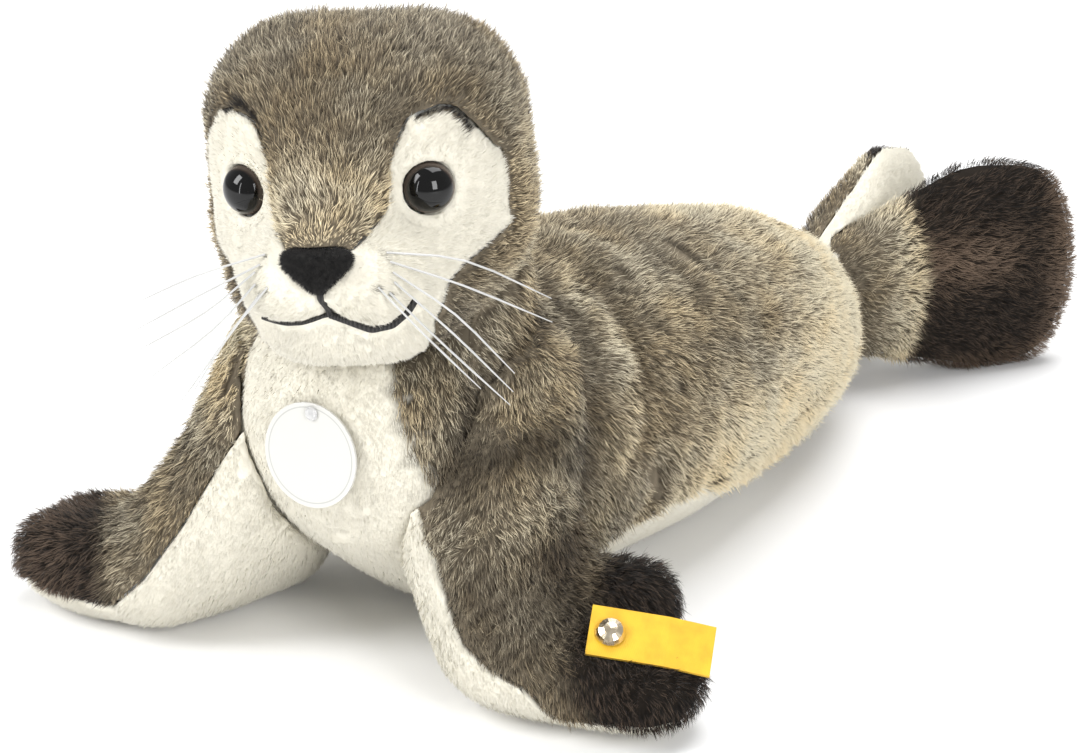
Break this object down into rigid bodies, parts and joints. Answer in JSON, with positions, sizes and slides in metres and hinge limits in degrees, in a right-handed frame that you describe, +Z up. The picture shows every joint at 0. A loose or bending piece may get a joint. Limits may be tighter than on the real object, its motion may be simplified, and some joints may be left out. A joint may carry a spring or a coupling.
{
  "type": "plush seal",
  "caption": "Stuffed seal lying on its belly with its head raised, brown back and pale face, chest and belly, hanging card tag and a buttoned cloth label.",
  "frame": {"origin": "middle of the underside of the bounding box, on the floor that the seal lies on", "axes": "+Z up; the seal looks along -Y with its tail towards +Y, and its left side is towards +X"},
  "size_m": [0.1928, 0.3068, 0.1563],
  "materials": {
    "brown_plush": "plush pile, brown with pale tips",
    "dark_plush": "plush pile, dark brown",
    "white_plush": "short plush pile, cream white",
    "fibre_filling": "loose polyester fibre",
    "eye_plastic": "polished",
    "washer_plastic": "moulded",
    "nose_velvet": "velvet",
    "black_thread": "twisted thread",
    "nylon": "smooth monofilament",
    "card": "coated white card",
    "pin_plastic": "moulded",
    "label_cloth": "woven ribbon",
    "button_brass": "polished"
  },
  "bodies": {
    "root": {"body_brown_cover": "brown_plush", "body_white_cover": "white_plush", "body_stuffing": "fibre_filling", "head_brown_cover": "brown_plush", "head_white_cover": "white_plush", "head_stuffing": "fibre_filling", "front_flipper_left_brown_cover": "brown_plush", "front_flipper_left_white_cover": "white_plush", "front_flipper_left_stuffing": "fibre_filling", "front_flipper_right_brown_cover": "brown_plush", "front_flipper_right_white_cover": "white_plush", "front_flipper_right_stuffing": "fibre_filling", "hind_flipper_left_brown_cover": "dark_plush", "hind_flipper_left_white_cover": "white_plush", "hind_flipper_left_stuffing": "fibre_filling", "hind_flipper_right_brown_cover": "dark_plush", "hind_flipper_right_white_cover": "white_plush", "hind_flipper_right_stuffing": "fibre_filling", "eye_left": "eye_plastic", "eye_washer_left": "washer_plastic", "eye_right": "eye_plastic", "eye_washer_right": "washer_plastic", "nose": "nose_velvet", "mouth_thread_middle": "black_thread", "mouth_thread_left": "black_thread", "mouth_thread_right": "black_thread", "whisker_left_1": "nylon", "whisker_left_2": "nylon", "whisker_left_3": "nylon", "whisker_left_4": "nylon", "whisker_left_5": "nylon", "whisker_left_6": "nylon", "whisker_right_1": "nylon", "whisker_right_2": "nylon", "whisker_right_3": "nylon", "whisker_right_4": "nylon", "whisker_right_5": "nylon", "whisker_right_6": "nylon", "hang_tag": "card", "hang_tag_pin": "pin_plastic", "cloth_label": "label_cloth", "label_button": "button_brass", "label_washer": "button_brass"}
  },
  "joints": []
}
